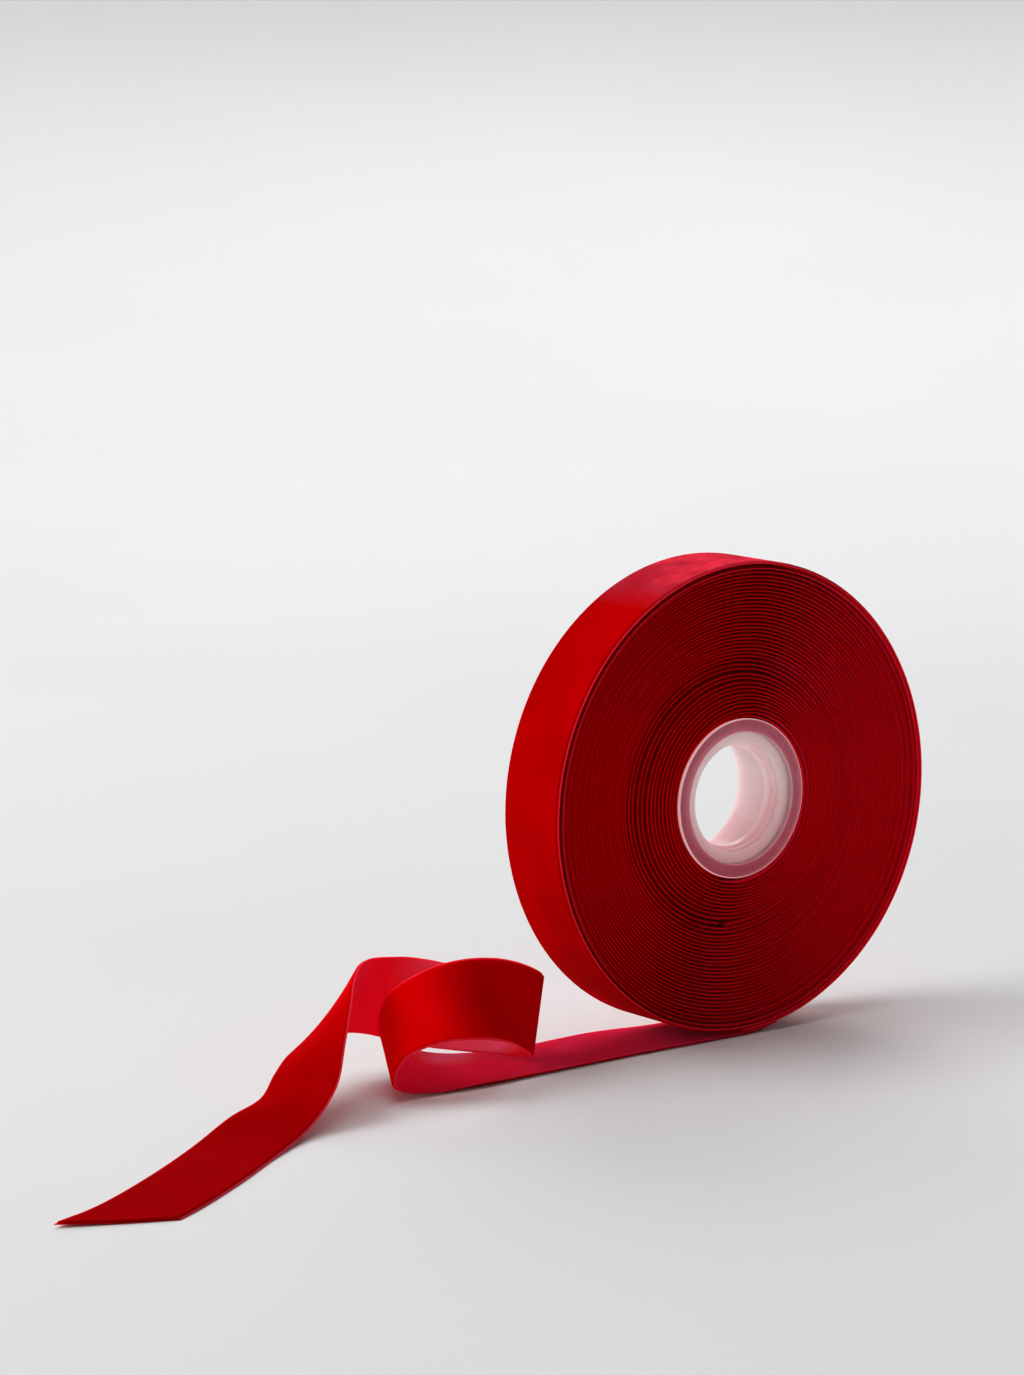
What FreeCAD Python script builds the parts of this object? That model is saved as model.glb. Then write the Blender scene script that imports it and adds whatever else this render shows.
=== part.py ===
import FreeCAD, Part
import math
import os
import Sketcher

# A roll of single-face velvet ribbon on a two-part plastic hub, standing on its rim, with the free
# end of the ribbon laid out on the table. Millimetres, +Z up. The origin is on the spindle axis,
# halfway across the ribbon. +Y runs along the axis towards the back of the roll, and the free end
# leaves the bottom of the roll towards -X. The table lies one ribbon thickness and one table gap
# below the pack.

doc = FreeCAD.newDocument("ribbon_roll")
sheet = doc.addObject("Spreadsheet::Sheet", "Sizes")

# alias, value in millimetres (or degrees where it says so), what it is
SIZES = [
    ("ribbon_width", "22", "ribbon across, edge to edge"),
    ("ribbon_thickness", "0.9", "ribbon with its pile pressed down"),
    ("table_gap", "0.1", "air between the rolling pack and the ribbon under it"),
    ("pack_radius", "62", "outside of the wound ribbon"),
    ("loose_depth", "2", "depth of the two slack outer wraps"),
    ("join_radius", "33.2", "where the first length of ribbon ends and the second begins"),
    ("wrap_gap", "0.05", "air between neighbouring windings, and beside the flanges"),
    ("tab_thickness", "0.2", "adhesive tab on the core"),
    ("tab_width", "15", "adhesive tab across"),
    ("tab_sweep", "70", "adhesive tab around the core, in degrees"),
    ("hub_length", "20.4", "hub from flange face to flange face"),
    ("flange_radius", "20.9", "rim of both flanges"),
    ("flange_thickness", "1", "both flanges"),
    ("core_radius", "18.2", "outside of the core tube"),
    ("core_bore", "16", "inside radius of the core tube behind the front cap"),
    ("seat_radius", "16.3", "inside radius of the core tube where the front cap plugs in"),
    ("lip_radius", "17.4", "radius of the recess in the front cap"),
    ("lip_depth", "1.5", "depth of that recess"),
    ("web_thickness", "1.1", "web between the recess and the core tube"),
    ("mouth_radius", "14", "front mouth of the spindle hole"),
    ("spindle_radius", "13.2", "narrowest part of the spindle hole"),
    ("mouth_length", "2", "tapered mouth of the spindle hole"),
    ("land_length", "3", "straight part of the spindle hole"),
    ("plug_clearance", "0.05", "air between the front cap's sleeve and its seat"),
    ("contact_run", "14", "flat ribbon under the roll, before its lowest line"),
    ("contact_wrap", "12", "ribbon that hugs the pack past its lowest line, in degrees"),
]

# The laid end of the ribbon, as stations along its centre line: x, y, z, then the direction from
# its first edge to its second, as a compass angle from +Y towards +X and a rise above the table,
# in degrees. It runs flat, curls up, comes back on edge, turns round behind itself, folds over
# and runs down to the table again.
TAIL = [
    (-14.05, 0, -62.5, 0, 0),
    (-34, 0, -62, 0, 2),
    (-62, -1, -61.9, -2, 2),
    (-85, -2, -60.5, 4, 8),
    (-99.5, -1.5, -58.3, 12, 22),
    (-107.5, -1.5, -54, 24, 32),
    (-108.5, -7, -45, 24, 34),
    (-102.5, -13, -40, 17, 39),
    (-92.5, -15.5, -39, 9, 52),
    (-80, -12.5, -41.5, 17, 63),
    (-68.5, -7, -46, 42, 65),
    (-60.5, -1.5, -50.5, 54, 61),
    (-65.5, 6, -50.5, 50, 61),
    (-77, 12.5, -48.5, 45, 67),
    (-86.5, 14.5, -46, 85, 76),
    (-97, 15.5, -43, 144, 69),
    (-109, 12, -41, 151, 65),
    (-119.5, 5, -41.7, 146, 56),
    (-128, -1.5, -44.5, 145, 41),
    (-135, -7, -49.5, 150, 28),
    (-142, -12, -55.8, 152, 15),
    (-154, -17, -60.2, 150, 0),
    (-170, -26.5, -62.2, 148, 0),
    (-188, -39, -62.4, 147, 0),
    (-206, -50.5, -62.4, 148, 0),
    (-219, -57.5, -62.4, 150, 0),
    (-231.5, -63.5, -61.8, 152, 0),
]
LOOP_START = 2        # station where the flat run starts to curl
FOLD_START = 15       # station where the returning ribbon starts to fold over
CUT_START = 22        # station where the second edge starts to fall back to the slanting cut
SECOND_EDGE_END = 24.8
SECTIONS_PER_STATION = 3

FRONT = "-Sizes.hub_length / 2"
BACK = "Sizes.hub_length / 2"
FLANGE_INNER = "Sizes.hub_length / 2 - Sizes.flange_thickness"
WEB_FRONT = f"{FRONT} + Sizes.lip_depth"
WEB_BACK = f"{WEB_FRONT} + Sizes.web_thickness"
MOUTH_END = f"{WEB_FRONT} + Sizes.mouth_length"
LAND_END = f"{MOUTH_END} + Sizes.land_length"
SEAT_END = f"{LAND_END} + Sizes.plug_clearance"
PLUG_RADIUS = "Sizes.seat_radius - Sizes.plug_clearance"
HALF_WIDTH = "Sizes.ribbon_width / 2"


def fill_sheet():
    for row, (alias, value, meaning) in enumerate(SIZES, start=1):
        sheet.set(f"A{row}", meaning)
        sheet.set(f"B{row}", value)
        sheet.setAlias(f"B{row}", alias)
    doc.recompute()


def size(alias):
    return float(getattr(sheet, alias))


def bound_profile(body, corners):
    """A closed sketch: each corner is (radius, distance along the axis), bound to the sheet."""
    sketch = body.newObject("Sketcher::SketchObject", f"{body.Name}_profile")
    origin_planes = body.Origin.OriginFeatures
    base = next(plane for plane in origin_planes if plane.Role == "XY_Plane")
    sketch.AttachmentSupport = [(base, "")]
    sketch.MapMode = "FlatFace"
    spots = [FreeCAD.Vector(*[number(sketch, formula) for formula in corner]) for corner in corners]
    count = len(spots)
    for line in range(count):
        sketch.addGeometry(Part.LineSegment(spots[line], spots[(line + 1) % count]), False)
    for line in range(count):
        sketch.addConstraint(Sketcher.Constraint("Coincident", line, 2, (line + 1) % count, 1))
    for line, corner in enumerate(corners):
        for kind, formula in zip(("DistanceX", "DistanceY"), corner):
            value = number(sketch, formula)
            index = sketch.addConstraint(Sketcher.Constraint(kind, -1, 1, line, 1, value))
            sketch.setExpression(f"Constraints[{index}]", formula)
    return sketch


def number(sketch, formula):
    value = sketch.evalExpression(formula)
    return float(getattr(value, "Value", value))


def turned_body(label, corners, sweep=None):
    """A body turned about the spindle axis."""
    body = doc.addObject("PartDesign::Body", label)
    body.Label = label
    sketch = bound_profile(body, corners)
    turn = body.newObject("PartDesign::Revolution", f"{label}_turn")
    turn.Profile = sketch
    turn.ReferenceAxis = (sketch, ["V_Axis"])
    turn.Angle = 360
    if sweep:
        turn.setExpression("Angle", sweep)
    body.Tip = turn
    body.Placement = FreeCAD.Placement()
    return body


def hub_bodies():
    """The front cap plugs into the rear core; each carries one flange."""
    turned_body("hub_front_cap", [
        ("Sizes.lip_radius", FRONT),
        ("Sizes.flange_radius", FRONT),
        ("Sizes.flange_radius", f"-({FLANGE_INNER})"),
        ("Sizes.core_radius", f"-({FLANGE_INNER})"),
        ("Sizes.core_radius", WEB_BACK),
        (PLUG_RADIUS, WEB_BACK),
        (PLUG_RADIUS, LAND_END),
        ("Sizes.spindle_radius", LAND_END),
        ("Sizes.spindle_radius", MOUTH_END),
        ("Sizes.mouth_radius", WEB_FRONT),
        ("Sizes.lip_radius", WEB_FRONT),
    ])
    turned_body("hub_rear_core", [
        ("Sizes.seat_radius", WEB_BACK),
        ("Sizes.core_radius", WEB_BACK),
        ("Sizes.core_radius", FLANGE_INNER),
        ("Sizes.flange_radius", FLANGE_INNER),
        ("Sizes.flange_radius", BACK),
        ("Sizes.core_bore", BACK),
        ("Sizes.core_bore", SEAT_END),
        ("Sizes.seat_radius", SEAT_END),
    ])


def tab_body():
    """The adhesive tab that holds the inner end of the ribbon to the core."""
    outer = "Sizes.core_radius + Sizes.tab_thickness"
    half = "Sizes.tab_width / 2"
    turned_body("core_tape_tab", [
        ("Sizes.core_radius", f"-{half}"),
        (outer, f"-{half}"),
        (outer, half),
        ("Sizes.core_radius", half),
    ], sweep="Sizes.tab_sweep")


def winding_bodies():
    """The wound ribbon: a first length, a second length over it, and its two slack outer wraps."""
    start = "Sizes.core_radius + Sizes.tab_thickness"
    beside_flange = f"{FLANGE_INNER} - Sizes.wrap_gap"
    clear_of_flange = "Sizes.flange_radius + Sizes.wrap_gap"
    loose_start = "Sizes.pack_radius - Sizes.loose_depth"
    turned_body("ribbon_inner_winding", [
        (start, f"-({beside_flange})"),
        (clear_of_flange, f"-({beside_flange})"),
        (clear_of_flange, f"-{HALF_WIDTH}"),
        ("Sizes.join_radius", f"-{HALF_WIDTH}"),
        ("Sizes.join_radius", HALF_WIDTH),
        (clear_of_flange, HALF_WIDTH),
        (clear_of_flange, beside_flange),
        (start, beside_flange),
    ])
    ring_body("ribbon_outer_winding", "Sizes.join_radius + Sizes.wrap_gap", loose_start)
    ring_body("ribbon_slack_wraps", f"{loose_start} + Sizes.wrap_gap", "Sizes.pack_radius")


def ring_body(label, inner, outer):
    turned_body(label, [
        (inner, f"-{HALF_WIDTH}"),
        (outer, f"-{HALF_WIDTH}"),
        (outer, HALF_WIDTH),
        (inner, HALF_WIDTH),
    ])


def place_shape(label, shape):
    feature = doc.addObject("Part::Feature", label)
    feature.Label = label
    feature.Shape = shape
    feature.Placement = FreeCAD.Placement()


def contact_shape():
    """The ribbon where the roll presses it on the table: flat, then hugging the pack."""
    inner = size("pack_radius") + size("table_gap")
    outer = inner + size("ribbon_thickness")
    turn = math.radians(size("contact_wrap"))
    start_x = -size("contact_run")
    half_turn_spot = (math.sin(turn / 2), -math.cos(turn / 2))
    end_spot = (math.sin(turn), -math.cos(turn))

    def spot(x, z):
        return FreeCAD.Vector(x, -size("ribbon_width") / 2, z)

    def at(radius, direction):
        return spot(radius * direction[0], radius * direction[1])

    edges = [
        Part.LineSegment(spot(start_x, -inner), spot(start_x, -outer)),
        Part.LineSegment(spot(start_x, -outer), spot(0, -outer)),
        Part.Arc(spot(0, -outer), at(outer, half_turn_spot), at(outer, end_spot)),
        Part.LineSegment(at(outer, end_spot), at(inner, end_spot)),
        Part.Arc(at(inner, end_spot), at(inner, half_turn_spot), spot(0, -inner)),
        Part.LineSegment(spot(0, -inner), spot(start_x, -inner)),
    ]
    wire = Part.Wire([edge.toShape() for edge in edges])
    return Part.Face(wire).extrude(FreeCAD.Vector(0, size("ribbon_width"), 0))


def across_direction(compass, rise):
    compass = math.radians(compass)
    rise = math.radians(rise)
    flat = math.cos(rise)
    return FreeCAD.Vector(math.sin(compass) * flat, math.cos(compass) * flat, math.sin(rise))


def smooth(values, at):
    """A smooth curve through every value (Catmull-Rom); at counts stations."""
    first = min(int(at), len(values) - 2)
    t = at - first
    before, start, end, after = (values[max(0, min(first + k, len(values) - 1))] for k in (-1, 0, 1, 2))
    if first == 0:
        before = start * 2 - end
    if first == len(values) - 2:
        after = end * 2 - start
    part_1 = (end - before) * t
    part_2 = (before * 2 - start * 5 + end * 4 - after) * t ** 2
    part_3 = (start * 3 - before - end * 3 + after) * t ** 3
    return start + (part_1 + part_2 + part_3) * 0.5


CENTRES = [FreeCAD.Vector(x, y, z) for x, y, z, compass, rise in TAIL]
ACROSS = [across_direction(compass, rise) for x, y, z, compass, rise in TAIL]


def cross_section(first_at, second_at):
    """The ribbon's rectangular section, with its first and second edge at these stations."""
    middle = (first_at + second_at) / 2
    step = 0.05
    low = max(0, middle - step)
    high = min(len(TAIL) - 1, middle + step)
    along = smooth(CENTRES, high) - smooth(CENTRES, low)
    across = smooth(ACROSS, middle)
    lift = across.cross(along).normalize() * (size("ribbon_thickness") / 2)
    edges = []
    for at, side in ((first_at, -1), (second_at, 1)):
        reach = smooth(ACROSS, at).normalize() * (side * size("ribbon_width") / 2)
        edges.append(smooth(CENTRES, at) + reach)
    first, second = edges
    corners = [first - lift, second - lift, second + lift, first + lift]
    return Part.makePolygon(corners + corners[:1])


def tail_shape(start, end):
    """One stretch of the laid end, between two stations."""
    steps = (end - start) * SECTIONS_PER_STATION
    sections = []
    for step in range(steps + 1):
        first_at = start + (end - start) * step / steps
        second_at = first_at
        if first_at > CUT_START:
            share = (first_at - CUT_START) / (len(TAIL) - 1 - CUT_START)
            second_at = CUT_START + share * (SECOND_EDGE_END - CUT_START)
        sections.append(cross_section(first_at, second_at))
    return Part.makeLoft(sections, True, True)


def check_and_export():
    os.makedirs("parts", exist_ok=True)
    for item in doc.Objects:
        if "Invalid" in item.State or "Error" in item.State:
            raise RuntimeError(f"{item.Label} failed: {item.State}")
    pieces = [item for item in doc.Objects if item.TypeId in ("PartDesign::Body", "Part::Feature")]
    for piece in pieces:
        if piece.Shape.isNull() or not piece.Shape.isValid() or len(piece.Shape.Solids) != 1:
            raise RuntimeError(f"{piece.Label} is not one valid solid")
    for piece in pieces:
        piece.Shape.exportStep(f"parts/{piece.Label}.step")
        box = piece.Shape.BoundBox
        print(f"{piece.Label}: {piece.Shape.Volume:.0f} mm3, "
              f"x {box.XMin:.1f} {box.XMax:.1f}, y {box.YMin:.1f} {box.YMax:.1f}, "
              f"z {box.ZMin:.2f} {box.ZMax:.2f}")


fill_sheet()
hub_bodies()
tab_body()
winding_bodies()
place_shape("ribbon_contact", contact_shape())
place_shape("ribbon_floor_run", tail_shape(0, LOOP_START))
place_shape("ribbon_loop", tail_shape(LOOP_START, FOLD_START))
place_shape("ribbon_free_end", tail_shape(FOLD_START, len(TAIL) - 1))
doc.recompute()
check_and_export()
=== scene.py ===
"""A roll of red single-face velvet ribbon on a plastic hub, with its free end curled on the table.

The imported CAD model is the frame. Lengths in the tables below are millimetres in the CAD's own
frame: the origin is on the spindle axis, +Y runs to the back of the roll and +Z is up.
"""

import math

import bpy
import numpy as np
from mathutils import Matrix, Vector


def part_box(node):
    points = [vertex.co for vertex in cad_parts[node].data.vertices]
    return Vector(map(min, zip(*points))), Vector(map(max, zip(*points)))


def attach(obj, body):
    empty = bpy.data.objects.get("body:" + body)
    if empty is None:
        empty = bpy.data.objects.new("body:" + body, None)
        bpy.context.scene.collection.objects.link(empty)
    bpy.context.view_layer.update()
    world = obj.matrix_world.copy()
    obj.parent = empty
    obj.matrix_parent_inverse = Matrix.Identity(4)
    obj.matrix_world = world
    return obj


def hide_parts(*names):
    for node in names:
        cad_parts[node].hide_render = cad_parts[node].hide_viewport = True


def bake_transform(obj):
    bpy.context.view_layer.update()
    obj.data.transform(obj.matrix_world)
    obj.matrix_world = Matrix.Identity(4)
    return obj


MM = 0.001
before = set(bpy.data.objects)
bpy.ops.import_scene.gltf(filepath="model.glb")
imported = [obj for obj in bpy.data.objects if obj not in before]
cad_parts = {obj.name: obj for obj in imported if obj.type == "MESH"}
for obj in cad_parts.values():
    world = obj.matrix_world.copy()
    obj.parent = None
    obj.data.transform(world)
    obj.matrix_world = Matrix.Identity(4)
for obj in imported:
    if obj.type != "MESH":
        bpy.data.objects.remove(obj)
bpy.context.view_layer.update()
scene = bpy.context.scene
random = np.random.default_rng(22)

# ---------------------------------------------------------------- sizes that the CAD gives
PACK_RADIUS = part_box("ribbon_slack_wraps")[1].z / MM
JOIN_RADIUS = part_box("ribbon_inner_winding")[1].z / MM
HALF_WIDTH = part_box("ribbon_slack_wraps")[1].y / MM
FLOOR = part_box("ribbon_contact")[0].z / MM
FLANGE_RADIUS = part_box("hub_front_cap")[1].z / MM
HUB_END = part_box("hub_rear_core")[1].y / MM

# ---------------------------------------------------------------- the ribbon
BASE = 0.32            # woven base, satin on its free side
THICKNESS = 0.9        # base and pile
PILE_INSET = 0.55      # the pile stops this far from each selvedge
WRAP_THICKNESS = 0.8   # pressed together in the pack
CORE_RADIUS = 18.4     # the satin side of the innermost wrap
INNER_TURNS = 14.6     # the first length's wraps
OUTER_TURNS = 29       # the second length's whole wraps

# angles about the spindle axis, from +X towards +Z
BOTTOM = math.radians(-90)
SPLICE_ANGLE = math.radians(-104)   # where the second length starts on the first
SPLICE_GAP = math.radians(3)        # from there to the first length's cut end
SLACK_ANGLE = math.radians(165)     # the side that the wraps near the join have slipped to

# Stations along the laid end's centre line, as in the CAD: x, y, z, then the direction from its
# first edge to its second, as a compass angle from +Y towards +X and a rise, in degrees.
TAIL = [
    (-14.05, 0, -62.5, 0, 0),
    (-34, 0, -62, 0, 2),
    (-62, -1, -61.9, -2, 2),
    (-85, -2, -60.5, 4, 8),
    (-99.5, -1.5, -58.3, 12, 22),
    (-107.5, -1.5, -54, 24, 32),
    (-108.5, -7, -45, 24, 34),
    (-102.5, -13, -40, 17, 39),
    (-92.5, -15.5, -39, 9, 52),
    (-80, -12.5, -41.5, 17, 63),
    (-68.5, -7, -46, 42, 65),
    (-60.5, -1.5, -50.5, 54, 61),
    (-65.5, 6, -50.5, 50, 61),
    (-77, 12.5, -48.5, 45, 67),
    (-86.5, 14.5, -46, 85, 76),
    (-97, 15.5, -43, 144, 69),
    (-109, 12, -41, 151, 65),
    (-119.5, 5, -41.7, 146, 56),
    (-128, -1.5, -44.5, 145, 41),
    (-135, -7, -49.5, 150, 28),
    (-142, -12, -55.8, 152, 15),
    (-154, -17, -60.2, 150, 0),
    (-170, -26.5, -62.2, 148, 0),
    (-188, -39, -62.4, 147, 0),
    (-206, -50.5, -62.4, 148, 0),
    (-219, -57.5, -62.4, 150, 0),
    (-231.5, -63.5, -61.8, 152, 0),
]
CUT_START = 22          # from this station on, the second edge falls back for the slanting cut
SECOND_EDGE_END = 24.8  # the station that the second edge reaches when the first is at the tip


# ---------------------------------------------------------------- camera
def make_camera():
    """A long lens, in front of the roll and to its left, a little above it."""
    yaw, pitch, distance = math.radians(37.61), math.radians(9.264), 1.158
    target = Vector((-0.0395, 0.0360, 0.0271))
    forward = Vector((math.sin(yaw) * math.cos(pitch), math.cos(yaw) * math.cos(pitch),
                      -math.sin(pitch)))
    data = bpy.data.cameras.new("camera")
    data.sensor_width = 36
    data.lens = 116.3
    camera = bpy.data.objects.new("camera", data)
    camera.location = target - forward * distance
    camera.rotation_euler = forward.to_track_quat("-Z", "Y").to_euler()
    scene.collection.objects.link(camera)
    scene.camera = camera


# ---------------------------------------------------------------- materials
class Nodes:
    """A Principled material whose other nodes are added by name."""

    def __init__(self, name):
        self.material = bpy.data.materials.new(name)
        self.material.use_nodes = True
        self.tree = self.material.node_tree
        self.shader = self.tree.nodes["Principled BSDF"]
        self.where = self.add("ShaderNodeTexCoord").outputs["Object"]

    def add(self, kind, **settings):
        node = self.tree.nodes.new(kind)
        for key, value in settings.items():
            setattr(node, key, value)
        return node

    def link(self, source, target):
        self.tree.links.new(source, target)

    def constants(self, **values):
        for key, value in values.items():
            self.shader.inputs[key.replace("_", " ")].default_value = value

    def noise(self, scale, detail=2.0, roughness=0.5, stretch=None):
        """Noise at the object's own scale: scale counts features per metre."""
        node = self.add("ShaderNodeTexNoise")
        node.inputs["Scale"].default_value = scale
        node.inputs["Detail"].default_value = detail
        node.inputs["Roughness"].default_value = roughness
        source = self.where
        if stretch:
            mapping = self.add("ShaderNodeMapping")
            mapping.inputs["Scale"].default_value = stretch
            self.link(source, mapping.inputs["Vector"])
            source = mapping.outputs["Vector"]
        self.link(source, node.inputs["Vector"])
        return node.outputs["Fac"]

    def ramp(self, source, *stops):
        """Colours or greys over 0 to 1."""
        node = self.add("ShaderNodeValToRGB")
        elements = node.color_ramp.elements
        while len(elements) < len(stops):
            elements.new(0.5)
        for element, (place, colour) in zip(elements, stops):
            element.position = place
            if not isinstance(colour, tuple):
                colour = (colour, colour, colour)
            element.color = (*colour, 1)
        self.link(source, node.inputs["Fac"])
        return node.outputs["Color"]

    def fade(self, source, full=1.0):
        """From black to full over 0 to 1."""
        return self.ramp(source, (0, 0.0), (1, full))

    def mix(self, blend, a, b):
        node = self.add("ShaderNodeMix", data_type="RGBA", blend_type=blend)
        node.inputs["Factor"].default_value = 1
        self.link(a, node.inputs["A"])
        self.link(b, node.inputs["B"])
        return node.outputs["Result"]

    def along(self, axis, low, high):
        """0 to 1 between two places on one of the object's own axes, in millimetres."""
        parts = self.add("ShaderNodeSeparateXYZ")
        self.link(self.where, parts.inputs["Vector"])
        return self.span(parts.outputs[axis], low, high)

    def away(self, low, high):
        """0 to 1 between two distances from the spindle axis, in millimetres."""
        flat = self.add("ShaderNodeVectorMath", operation="MULTIPLY")
        flat.inputs[1].default_value = (1, 0, 1)
        self.link(self.where, flat.inputs[0])
        length = self.add("ShaderNodeVectorMath", operation="LENGTH")
        self.link(flat.outputs["Vector"], length.inputs[0])
        return self.span(length.outputs["Value"], low, high)

    def span(self, source, low, high):
        """0 to 1 between two lengths in millimetres."""
        node = self.add("ShaderNodeMapRange")
        node.inputs["From Min"].default_value = low * MM
        node.inputs["From Max"].default_value = high * MM
        self.link(source, node.inputs["Value"])
        return node.outputs["Result"]

    def rough(self, source, low, high):
        """Roughness that follows the source: low and high are (place on it, roughness)."""
        self.link(self.ramp(source, low, high), self.shader.inputs["Roughness"])

    def bump(self, height, strength, depth):
        """Small relief; depth is in metres."""
        node = self.add("ShaderNodeBump")
        node.inputs["Strength"].default_value = strength
        node.inputs["Distance"].default_value = depth
        self.link(height, node.inputs["Height"])
        self.link(node.outputs["Normal"], self.shader.inputs["Normal"])


# how far light passes into the thin ribbon, in metres; its radius lets hardly any but red through
SUBSURFACE_DEPTH = 0.005


def velvet_material(name, deep, bright, glow, painted_light_along_x=(), painted_sheen=None):
    """Pile: fine grain, and soft patches where the pile lies another way.

    glow is the share of red light that passes through the thin ribbon. The places on the X axis
    in millimetres, each with a brightness, are painted shade and light along the laid end.
    The colour for the top of the outermost wrap is a painted pink sheen highlight there.
    """
    nodes = Nodes(name)
    patches = nodes.ramp(nodes.noise(55, 3), (0.35, deep), (0.65, bright))
    grain = nodes.ramp(nodes.noise(2600, 3, 0.7), (0.3, 0.76), (0.7, 1.0))
    colour = nodes.mix("MULTIPLY", patches, grain)
    # painted shade and light along X: darker where the laid end lies flat, brightest at the curl's
    # left
    if painted_light_along_x:
        first, last = painted_light_along_x[0][0], painted_light_along_x[-1][0]
        stops = [((x - first) / (last - first), painted_brightness) for x, painted_brightness in painted_light_along_x]
        painted_brightness = nodes.ramp(nodes.along("X", first, last), *stops)
        colour = nodes.mix("MULTIPLY", colour, painted_brightness)
    if painted_sheen:
        # painted shade between the wraps: the pile inside the outermost wrap is darker
        outside = nodes.away(60.4, 61.2)
        colour = nodes.mix("MULTIPLY", colour, nodes.ramp(outside, (0, 0.36), (1, 1.0)))
        # painted sheen highlight: a pink patch on the top of the outermost wrap
        painted_sheen_patch = nodes.fade(nodes.along("Z", 52, 60.5), painted_sheen)
        streaks = nodes.ramp(nodes.noise(90, 3, 0.6), (0.38, 0.55), (0.62, 1.0))
        painted_sheen_patch = nodes.mix("MULTIPLY", painted_sheen_patch, streaks)
        painted_sheen_patch = nodes.mix("MULTIPLY", painted_sheen_patch, nodes.fade(outside))
        colour = nodes.mix("LIGHTEN", colour, painted_sheen_patch)
    nodes.link(colour, nodes.shader.inputs["Base Color"])
    nodes.rough(nodes.noise(1500, 2), (0.3, 0.62), (0.7, 0.8))
    nodes.bump(nodes.noise(3000, 3, 0.7), 0.5, 0.00012)
    nodes.constants(Specular_IOR_Level=0, Sheen_Weight=0.12, Sheen_Roughness=0.3,
                    Sheen_Tint=(1, 0.08, 0.14, 1), Subsurface_Weight=glow,
                    Subsurface_Radius=(1, 0.02, 0.03), Subsurface_Scale=SUBSURFACE_DEPTH)
    return nodes.material


def satin_material(name):
    """Plain woven back: smoother, with a sparkle from the fine twist of its threads."""
    nodes = Nodes(name)
    patches = nodes.ramp(nodes.noise(70, 2), (0.3, (0.86, 0.006, 0.035)), (0.7, (0.97, 0.01, 0.05)))
    threads = nodes.ramp(nodes.noise(3200, 2, 0.6), (0.35, 0.7), (0.65, 1.0))
    colour = nodes.mix("MULTIPLY", patches, threads)
    # painted highlight: a pink reflection on the inside of the curl
    painted_highlight = nodes.fade(nodes.along("X", -97, -80), (1.0, 0.16, 0.3))
    for axis, low, high in (("Y", -2, 3), ("Z", -60.6, -58.6)):
        painted_highlight = nodes.mix("MULTIPLY", painted_highlight, nodes.fade(nodes.along(axis, low, high)))
    nodes.link(nodes.mix("LIGHTEN", colour, painted_highlight), nodes.shader.inputs["Base Color"])
    nodes.rough(nodes.noise(2200, 2), (0.3, 0.38), (0.7, 0.55))
    nodes.bump(nodes.noise(2800, 2, 0.6), 0.45, 0.0001)
    nodes.constants(Specular_IOR_Level=0, Sheen_Weight=0.25, Sheen_Roughness=0.4,
                    Sheen_Tint=(1, 0.14, 0.3, 1), Subsurface_Weight=1,
                    Subsurface_Radius=(1, 0.02, 0.03), Subsurface_Scale=SUBSURFACE_DEPTH)
    return nodes.material


def selvedge_material(name, deep, bright, glow, outermost=None):
    """The firm woven edge: tight weft loops along it, painted highlights on the outermost wraps.

    outermost is the colour of those wraps' painted highlight. The roll's other edges carry painted
    shade, a little darker on its -X side.
    """
    nodes = Nodes(name)
    loops = nodes.ramp(nodes.noise(2400, 2, 0.6), (0.3, deep), (0.7, bright))
    if outermost:
        # painted shade: the edges darker towards the roll's -X side
        painted_side_shade = nodes.ramp(nodes.along("X", -60, 60), (0, 0.76), (1, 1.0))
        loops = nodes.mix("MULTIPLY", loops, painted_side_shade)
        # painted highlight on the outermost wraps' edges
        loops = nodes.mix("LIGHTEN", loops, nodes.fade(nodes.away(59.4, 60.2), outermost))
    nodes.link(loops, nodes.shader.inputs["Base Color"])
    nodes.rough(nodes.noise(2000), (0.3, 0.45), (0.7, 0.6))
    nodes.bump(nodes.noise(2600, 2), 0.4, 0.0001)
    nodes.constants(Specular_IOR_Level=0, Sheen_Weight=0.04, Sheen_Tint=(1, 0.1, 0.2, 1),
                    Subsurface_Weight=glow, Subsurface_Radius=(1, 0.05, 0.08),
                    Subsurface_Scale=SUBSURFACE_DEPTH)
    return nodes.material


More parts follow.
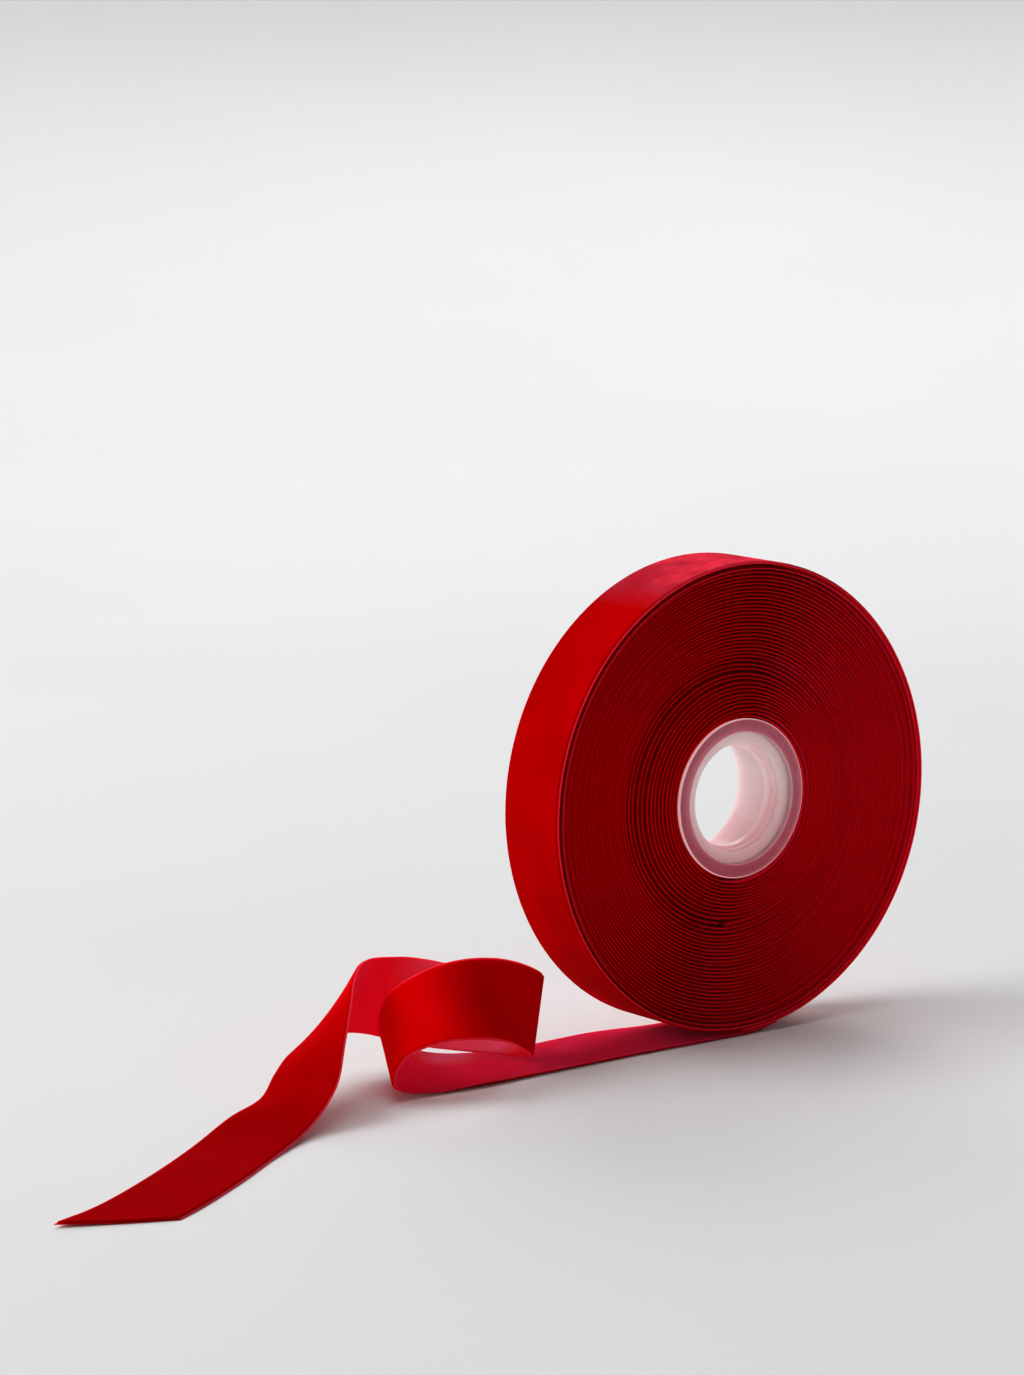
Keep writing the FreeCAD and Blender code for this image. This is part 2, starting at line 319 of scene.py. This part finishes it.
def hub_material(name):
    """Milky translucent plastic with fine handling scratches.

    Painted red light from the ribbon on the flanges, painted highlights on their rims; paler bore.
    """
    nodes = Nodes(name)
    haze = nodes.ramp(nodes.noise(120, 3), (0.3, 0.9), (0.7, 1.0))
    # painted red light on the flanges, for the ribbon seen through them; painted highlight on the
    # rims
    pale, painted_red_through, painted_rim_highlight = (1.0, 0.74, 0.74), (0.95, 0.18, 0.25), (1.0, 0.75, 0.78)
    outwards = nodes.away(16, 21)
    bore_end, flange_start, flange_end, rim_start = 0.24, 0.32, 0.92, 0.95
    by_radius = nodes.ramp(outwards, (bore_end, pale), (flange_start, painted_red_through),
                           (flange_end, painted_red_through), (rim_start, painted_rim_highlight))
    # painted shade: the hub darker and redder towards the bottom
    by_height = nodes.ramp(nodes.along("Z", -18, 4), (0, (0.92, 0.62, 0.66)), (1, 1.0))
    colour = nodes.mix("MULTIPLY", nodes.mix("MULTIPLY", by_radius, by_height), haze)
    nodes.link(colour, nodes.shader.inputs["Base Color"])
    # painted glow: the bore and the flanges' rims give off light, for light piped through the clear
    # plastic
    painted_glow = nodes.ramp(outwards, (bore_end, (0.1, 0.08, 0.08)), (flange_start, 0.0),
                        (flange_end, 0.0), (rim_start, (0.5, 0.26, 0.27)))
    nodes.link(painted_glow, nodes.shader.inputs["Emission Color"])
    scratches = nodes.noise(260, 4, 0.7, stretch=(1, 1, 7))
    nodes.rough(scratches, (0.45, 0.28), (0.62, 0.5))
    nodes.bump(scratches, 0.08, 0.00008)
    nodes.constants(Specular_IOR_Level=0.3, Subsurface_Weight=1, Subsurface_Scale=0.006,
                    Subsurface_Radius=(1, 0.8, 0.8), Alpha=0.88, Emission_Strength=1)
    return nodes.material


def tab_material(name):
    """Creped paper tape."""
    nodes = Nodes(name)
    paper = nodes.ramp(nodes.noise(900, 3), (0.3, (0.7, 0.62, 0.46)), (0.7, (0.8, 0.73, 0.58)))
    nodes.link(paper, nodes.shader.inputs["Base Color"])
    nodes.rough(nodes.noise(700), (0.3, 0.6), (0.7, 0.8))
    nodes.bump(nodes.noise(1200, 3, 0.6, stretch=(1, 6, 1)), 0.5, 0.0001)
    return nodes.material


def stage_material(name):
    """Pale matt paper."""
    nodes = Nodes(name)
    paper = nodes.ramp(nodes.noise(3, 2), (0.3, (0.83, 0.83, 0.835)), (0.7, (0.86, 0.86, 0.865)))
    nodes.link(paper, nodes.shader.inputs["Base Color"])
    nodes.constants(Roughness=0.8, Specular_IOR_Level=0.15)
    return nodes.material


# ---------------------------------------------------------------- ribbon geometry
SATIN, VELVET, SELVEDGE = 0, 1, 2


def ribbon_outline(thickness, steps):
    """The ribbon's section as (across, height above the satin side, material of the next side)."""
    flat = HALF_WIDTH - 0.3          # the satin side
    edge = HALF_WIDTH - 0.04         # the selvedge's rounding starts here
    low, middle, high = 0.04, BASE / 2, BASE - 0.03
    pile = HALF_WIDTH - PILE_INSET   # the pile's foot, its rounded shoulder and its flat top
    shoulder = [(pile - 0.02, thickness - 0.22), (pile - 0.18, thickness - 0.03)]
    top = pile - 0.7
    outline = [(flat * (2 * step / steps - 1), 0, SATIN) for step in range(steps)]
    outline += [(flat, 0, SELVEDGE), (edge, low, SELVEDGE), (HALF_WIDTH, middle, SELVEDGE),
                (edge, high, SELVEDGE), (pile, BASE, VELVET)]
    outline += [(across, height, VELVET) for across, height in shoulder]
    outline += [(top * (1 - 2 * step / steps), thickness, VELVET) for step in range(steps + 1)]
    outline += [(-across, height, VELVET) for across, height in reversed(shoulder)]
    outline += [(-pile, BASE, SELVEDGE), (-edge, high, SELVEDGE), (-HALF_WIDTH, middle, SELVEDGE),
                (-edge, low, SELVEDGE)]
    return outline


def ribbon_mesh(name, grid, outline, pile, edge):
    """A closed strip from its sections: grid is sections x points x 3, in millimetres.

    outline gives each side's material; pile and edge are the velvet and the selvedge.
    """
    sections, points = grid.shape[:2]
    corner = np.arange(sections * points).reshape(sections, points)
    beside = np.roll(corner, -1, axis=1)
    sides = np.stack([corner[:-1], beside[:-1], beside[1:], corner[1:]], axis=-1).reshape(-1, 4)
    faces = sides.tolist() + [corner[0, ::-1].tolist(), corner[-1].tolist()]
    mesh = bpy.data.meshes.new(name)
    mesh.from_pydata((grid.reshape(-1, 3) * MM).tolist(), [], faces)
    kinds = np.tile([kind for _, _, kind in outline], sections - 1).tolist() + [VELVET, VELVET]
    mesh.polygons.foreach_set("material_index", kinds)
    mesh.polygons.foreach_set("use_smooth", [True] * (len(faces) - 2) + [False] * 2)
    for material in (satin, pile, edge):
        mesh.materials.append(material)
    mesh.update()
    piece = bpy.data.objects.new(name, mesh)
    scene.collection.objects.link(piece)
    return piece


def waves(count, amount, spacing=0.25):
    """A smooth random line over that many turns, with a new value every spacing of a turn."""
    knots = random.uniform(-1, 1, int(count / spacing) + 4)

    def value(turn):
        at = turn / spacing
        first = np.clip(at.astype(int), 0, len(knots) - 2)
        share = at - first
        share = share * share * (3 - 2 * share)
        return amount * (knots[first] * (1 - share) + knots[first + 1] * share)

    return value


def wound_ribbon(name, end_angle, turns, radii, half_widths, side_slip, steps_per_turn, cover):
    """A spiral of ribbon, pile outwards, from its outer end anticlockwise towards the core.

    radii gives the satin side's radius at a turn count, side_slip how far a wrap stands out to
    the back, and half_widths half the ribbon's width. Midway across, the pile swells until it
    meets the wrap outside it. cover is that swelling on the outermost wrap.
    """
    turn = np.linspace(0, turns, int(turns * steps_per_turn) + 1)
    angle = end_angle + turn * 2 * math.pi
    radius = radii(turn)
    outline = ribbon_outline(WRAP_THICKNESS, 2)
    across = np.array([a for a, _, _ in outline])
    height = np.array([h for _, h, _ in outline])
    base = radius + slack(radius, angle) + splice_bulge(radius, angle)
    swell = np.full_like(base, cover)
    spacing = base[:-steps_per_turn] - base[steps_per_turn:]
    clearance = 0.02
    swell[steps_per_turn:] = np.clip(spacing - WRAP_THICKNESS - clearance, 0, None)
    middle = (across == 0) & (height > BASE)
    reach = base[:, None] + height[None, :] + swell[:, None] * middle[None, :]
    grid = np.empty((len(turn), len(outline), 3))
    grid[..., 0] = np.cos(angle)[:, None] * reach
    grid[..., 1] = across * (half_widths(base) / HALF_WIDTH)[:, None] + side_slip(turn)[:, None]
    grid[..., 2] = np.sin(angle)[:, None] * reach
    return ribbon_mesh(name, grid, outline, pack_velvet, pack_edge)


def slack(radius, angle):
    """How far a wrap stands off: on the left near the join, and on the right if outermost."""
    amount = np.interp(radius, [CORE_RADIUS, 24, 29, JOIN_RADIUS, JOIN_RADIUS + 2, 60],
                       [0, 0.5, 2.9, 5.2, 5.7, 0])
    left = amount * ((0.5 + 0.5 * np.cos(angle - SLACK_ANGLE)) ** 2 - 0.375)
    loose = np.interp(radius, [50, PACK_RADIUS], [0, 0.9])
    return left + loose * np.clip(np.cos(angle), 0, 1) ** 2


def splice_bulge(radius, angle):
    """The wraps over the join stand out a little, less and less with each wrap."""
    off = np.abs((angle - SPLICE_ANGLE + math.pi) % (2 * math.pi) - math.pi)
    over = np.clip((radius - JOIN_RADIUS - 0.05) / 0.3, 0, 1)
    return 0.5 * over * np.exp(-((off / 0.24) ** 2)) * np.exp(-np.clip(radius - 33, 0, None) / 5)


def flange_width(radius):
    """Between the flanges the ribbon is held narrower."""
    return np.interp(radius, [FLANGE_RADIUS + 0.1, FLANGE_RADIUS + 1], [HUB_END - 1.1, HALF_WIDTH])


def make_windings():
    """Both wound lengths, each a spiral with its own cut ends."""
    # first length: its outermost wraps are loose, and its cut end lifts a little
    uneven = waves(INNER_TURNS, 0.06)
    slip = waves(INNER_TURNS, 0.13, 0.5)

    def inner_radii(turn):
        loose = np.interp(turn, [0, 1, 2, 3, 4, 6, INNER_TURNS],
                          [JOIN_RADIUS - gap for gap in (0.05, 1.2, 2.35, 3.45, 4.5, 6.5)]
                          + [CORE_RADIUS])
        lifted = 0.4 * np.exp(-turn / 0.02)
        return loose + uneven(turn) + lifted

    def inner_slip(turn):
        return slip(turn) * (1 + 2 * np.exp(-turn / 3))

    first = wound_ribbon("ribbon_first_length", SPLICE_ANGLE + SPLICE_GAP, INNER_TURNS,
                         inner_radii, flange_width, inner_slip, 128, 0.4)
    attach(first, "roll")
    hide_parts("ribbon_inner_winding")

    # second length: the outermost wrap keeps its radius until it comes round to the table
    outer_turns = OUTER_TURNS + (SPLICE_ANGLE - BOTTOM) / (2 * math.pi)
    tight = waves(outer_turns, 0.03)
    stray = waves(outer_turns, 0.15, 0.5)

    def outer_radii(turn):
        outer = PACK_RADIUS - WRAP_THICKNESS
        even = np.interp(turn, [0, 0.5, 0.75, 1, 2, 3, outer_turns - 3, outer_turns],
                         [outer, outer - 0.05, outer - 0.25, outer - 0.85, outer - 1.9,
                          outer - 2.95, JOIN_RADIUS + 3.5, JOIN_RADIUS + 0.1])
        return even + tight(turn) * np.clip(turn - 0.5, 0, 1)

    def outer_slip(turn):
        # every second wrap stands out, most of all outermost and on the right
        right = np.clip(np.cos(BOTTOM + turn * 2 * math.pi), 0, 1)
        paired = (0.16 + 0.14 * right) * np.cos(turn * math.pi) * np.clip(1.6 - turn / 5, 0, 1)
        # the outermost two wraps stand proud at the front, but not where they leave the roll
        quarters = turn * 4
        proud = 0.4 * np.clip(quarters - 1.4, 0, 1) * np.clip(9 - quarters, 0, 1)
        near_join = 1 + 2 * np.exp((turn - outer_turns) / 3)
        return stray(turn) * near_join - paired - proud

    second = wound_ribbon("ribbon_second_length", BOTTOM, outer_turns, outer_radii,
                          lambda radius: np.full_like(radius, HALF_WIDTH), outer_slip, 144, 0)
    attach(second, "roll")
    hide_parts("ribbon_outer_winding", "ribbon_slack_wraps")


def smooth_curve(values, at):
    """A smooth curve through every value (Catmull-Rom); at counts values from the first."""
    padded = np.vstack([2 * values[0] - values[1], values, 2 * values[-1] - values[-2]])
    first = np.clip(at.astype(int), 0, len(values) - 2)
    t = (at - first)[..., None]
    before, start, end, after = (padded[first + k] for k in range(4))
    return start + 0.5 * ((end - before) * t + (2 * before - 5 * start + 4 * end - after) * t ** 2
                          + (3 * start - before - 3 * end + after) * t ** 3)


def laid_stations():
    """The ribbon under the roll, then the CAD's stations: centres and across directions."""
    under = []
    middle = -FLOOR - THICKNESS / 2
    for degrees in (11.5, 8, 4, 0):   # past the roll's lowest line
        angle = math.radians(degrees)
        under.append((math.sin(angle) * middle, 0, -math.cos(angle) * middle, 0, 0))
    rows = np.array(under + TAIL, float)
    compass, rise = np.radians(rows[:, 3]), np.radians(rows[:, 4])
    across = np.stack([np.sin(compass) * np.cos(rise), np.cos(compass) * np.cos(rise),
                       np.sin(rise)], axis=1)
    return rows[:, :3], across, len(under)


def make_laid_end():
    """One ribbon from under the roll, round its lowest line, to its tip."""
    centres, across, under = laid_stations()
    last = len(centres) - 1
    per_station = 14
    fine = np.linspace(0, last, last * per_station + 1)
    outline = ribbon_outline(THICKNESS, 10)
    side = np.array([a for a, _, _ in outline])
    height = np.array([h for _, h, _ in outline])

    cut = under + CUT_START
    second = np.where(fine > cut, cut + (fine - cut) * (under + SECOND_EDGE_END - cut)
                      / (last - cut), fine)
    share = (side / HALF_WIDTH + 1) / 2
    at = fine[:, None] * (1 - share) + second[:, None] * share

    spot = smooth_curve(centres, at)
    aside = smooth_curve(across, at)
    aside /= np.linalg.norm(aside, axis=-1, keepdims=True)
    step = 0.04
    middle = (fine + second) / 2
    along = smooth_curve(centres, np.clip(middle + step, 0, last)) \
        - smooth_curve(centres, np.clip(middle - step, 0, last))
    across_middle = smooth_curve(across, middle)
    pile = np.cross(along, across_middle)
    pile /= np.linalg.norm(pile, axis=-1, keepdims=True)
    # the end under the roll thins out where it meets the outermost wrap
    depth = np.interp(fine, [0, 1.4], [0.15, 1])[:, None] * height[None, :]
    # the pile stands fuller under the floor run, where nothing presses it
    full = np.interp(fine - under, [0.5, 1, 2, 3, 4], [0, 0.1, 0.1, 0.35, 0])
    depth += full[:, None] * np.clip(height - BASE, 0, None) / (THICKNESS - BASE)
    depth = depth - THICKNESS / 2
    grid = spot + aside * side[None, :, None] + pile[:, None, :] * depth[..., None]
    piece = ribbon_mesh("ribbon_laid_end", grid, outline, laid_velvet, laid_edge)
    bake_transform(piece)
    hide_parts("ribbon_contact", "ribbon_floor_run", "ribbon_loop", "ribbon_free_end")


# ---------------------------------------------------------------- hub
def rounded(corners):
    """The outline through the corners, each rounded by its own radius: (r, y, radius).

    A point a little before and after each rounding keeps the flat sides flat in the shading.
    """
    steps, guard = 5, 0.04
    outline = []
    count = len(corners)
    for index, (r, y, radius) in enumerate(corners):
        spot = np.array((r, y))
        back = np.array(corners[index - 1][:2]) - spot
        ahead = np.array(corners[(index + 1) % count][:2]) - spot
        back /= np.linalg.norm(back)
        ahead /= np.linalg.norm(ahead)
        start, end = spot + back * radius, spot + ahead * radius
        outline.append(start + back * guard)
        for step in range(steps + 1):
            t = step / steps
            outline.append(start * (1 - t) ** 2 + spot * 2 * t * (1 - t) + end * t ** 2)
        outline.append(end + ahead * guard)
    return np.array(outline)


def turned_piece(name, corners):
    """A turned piece of the hub: its outline swept round the spindle axis."""
    segments = 180
    outline = rounded(corners)
    points = len(outline)
    angle = np.arange(segments) * 2 * math.pi / segments
    grid = np.empty((segments, points, 3))
    grid[..., 0] = np.cos(angle)[:, None] * outline[:, 0]
    grid[..., 1] = outline[:, 1]
    grid[..., 2] = np.sin(angle)[:, None] * outline[:, 0]
    corner = np.arange(segments * points).reshape(segments, points)
    beside, ahead = np.roll(corner, -1, axis=1), np.roll(corner, -1, axis=0)
    faces = np.stack([corner, beside, np.roll(beside, -1, axis=0), ahead], axis=-1).reshape(-1, 4)
    mesh = bpy.data.meshes.new(name)
    mesh.from_pydata((grid.reshape(-1, 3) * MM).tolist(), [], faces.tolist())
    mesh.polygons.foreach_set("use_smooth", [True] * len(faces))
    mesh.materials.append(hub_plastic)
    mesh.update()
    piece = bpy.data.objects.new(name, mesh)
    scene.collection.objects.link(piece)
    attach(piece, "roll")
    return piece


def make_hub():
    """Both halves, with the sleeve's two inner steps."""
    front, flange = -HUB_END, 1
    tube, plug, socket = 18.2, 16.25, 16.3
    split, sleeve_end = front + 2.6, front + 6.5
    recess, recess_floor = 17.4, front + 1.5
    narrow, stepped, wide = 13.2, 13.8, 14.4
    first_step, second_step = front + 3, front + 4.8
    cap = turned_piece("hub_cap_shell", [
        (recess, front, 0.2), (FLANGE_RADIUS, front, 0.25), (FLANGE_RADIUS, front + flange, 0.25),
        (tube, front + flange, 0.1), (tube, split, 0.05), (plug, split, 0.05),
        (plug, sleeve_end, 0.2), (narrow, sleeve_end, 0.2), (narrow, second_step, 0.15),
        (stepped, second_step, 0.15), (stepped, first_step, 0.15), (wide, first_step, 0.15),
        (wide, recess_floor, 0.2), (recess, recess_floor, 0.25)])
    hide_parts("hub_front_cap")
    bore, bore_start = 16, sleeve_end + 0.05
    core = turned_piece("hub_core_shell", [
        (socket, split, 0.05), (tube, split, 0.05), (tube, HUB_END - flange, 0.1),
        (FLANGE_RADIUS, HUB_END - flange, 0.25), (FLANGE_RADIUS, HUB_END, 0.25),
        (bore, HUB_END, 0.4), (bore, bore_start, 0.1), (socket, bore_start, 0.05)])
    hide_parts("hub_rear_core")


# ---------------------------------------------------------------- stage and light
def make_stage():
    """A pale paper bowl: a flat floor that curves up into a wall all round."""
    floor = FLOOR * MM
    flat, bend, wall_top = 1.0, 2.4, 3.0
    steps, segments = 30, 144
    profile = [(0.001, floor), (0.5, floor), (flat, floor)]
    for step in range(1, steps + 1):
        turn = math.radians(90 * step / steps)
        profile.append((flat + bend * math.sin(turn), floor + bend * (1 - math.cos(turn))))
    profile.append((flat + bend, wall_top))
    vertices = []
    for r, z in profile:
        for segment in range(segments):
            turn = 2 * math.pi * segment / segments
            vertices.append((r * math.cos(turn), r * math.sin(turn), z))
    faces = []
    for ring in range(len(profile) - 1):
        for segment in range(segments):
            beside = (segment + 1) % segments
            faces.append((ring * segments + segment, ring * segments + beside,
                          (ring + 1) * segments + beside, (ring + 1) * segments + segment))
    faces.append(tuple(range(segments)))
    mesh = bpy.data.meshes.new("backdrop")
    mesh.from_pydata(vertices, [], faces)
    mesh.polygons.foreach_set("use_smooth", [True] * len(faces))
    mesh.materials.append(stage_material("backdrop_paper"))
    mesh.update()
    backdrop = bpy.data.objects.new("backdrop", mesh)
    scene.collection.objects.link(backdrop)


def soft_light(name, place, target, size, power):
    """A rectangular area light that the camera doesn't see."""
    data = bpy.data.lights.new(name, "AREA")
    data.shape = "RECTANGLE"
    data.size, data.size_y = size
    data.energy = power
    light = bpy.data.objects.new(name, data)
    light.location = place
    light.rotation_euler = (Vector(target) - Vector(place)).to_track_quat("-Z", "Y").to_euler()
    light.visible_camera = False
    scene.collection.objects.link(light)


# name, compass angle from -X towards +Y, rise, distance, power
LIGHTS = [
    ("window", 30, 45, 1.9, 11),
    ("low_window", 14, 21, 1.9, 8.7),
    ("back", 130, 35, 2.05, 14.7),
]


def make_light():
    """Two windows on the left, a light behind on the right, and a wide soft ceiling."""
    for name, compass, rise, distance, power in LIGHTS:
        compass, rise = math.radians(compass), math.radians(rise)
        flat = distance * math.cos(rise)
        place = (-flat * math.cos(compass), flat * math.sin(compass), distance * math.sin(rise))
        soft_light(name, place, (0, 0, 0), (1.2, 1.0), power)
    soft_light("ceiling", (0, 0.3, 2.2), (0, 0.2, 0), (2, 2), 19)
    world = bpy.data.worlds.new("studio")
    world.use_nodes = True
    background = world.node_tree.nodes["Background"]
    background.inputs["Color"].default_value = (0.95, 0.96, 1, 1)
    background.inputs["Strength"].default_value = 0.02
    scene.world = world


scene.view_settings.view_transform = "Standard"
make_camera()
make_stage()
make_light()

# pack velvet: painted sheen highlight on the top of the outermost wrap
pack_velvet = velvet_material("pack_velvet", (0.52, 0.0, 0.0), (0.64, 0.0, 0.001), 0,
                              painted_sheen=(1.0, 0.035, 0.07))
# laid end's pile: painted shade and light along X
laid_velvet = velvet_material("laid_velvet", (0.85, 0.0, 0.0), (0.97, 0.0, 0.002), 1,
                              [(-240, 0.33), (-155, 0.34), (-137, 0.44), (-125, 0.54),
                               (-112, 1.0), (-104, 1.0), (-96, 0.62), (-88, 0.48), (-62, 0.48)])
satin = satin_material("satin_back")
laid_edge = selvedge_material("laid_selvedge", (0.9, 0.01, 0.03), (1.0, 0.03, 0.06), 1)
# pack edges: painted highlight on the outermost wraps, painted shade towards -X
pack_edge = selvedge_material("pack_selvedge", (0.7, 0.0, 0.001), (0.92, 0.002, 0.004), 0,
                              outermost=(1.0, 0.012, 0.03))
hub_plastic = hub_material("hub_plastic")

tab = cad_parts["core_tape_tab"]
tab.data.materials.clear()
tab.data.materials.append(tab_material("tab_paper"))

make_windings()
make_laid_end()
make_hub()
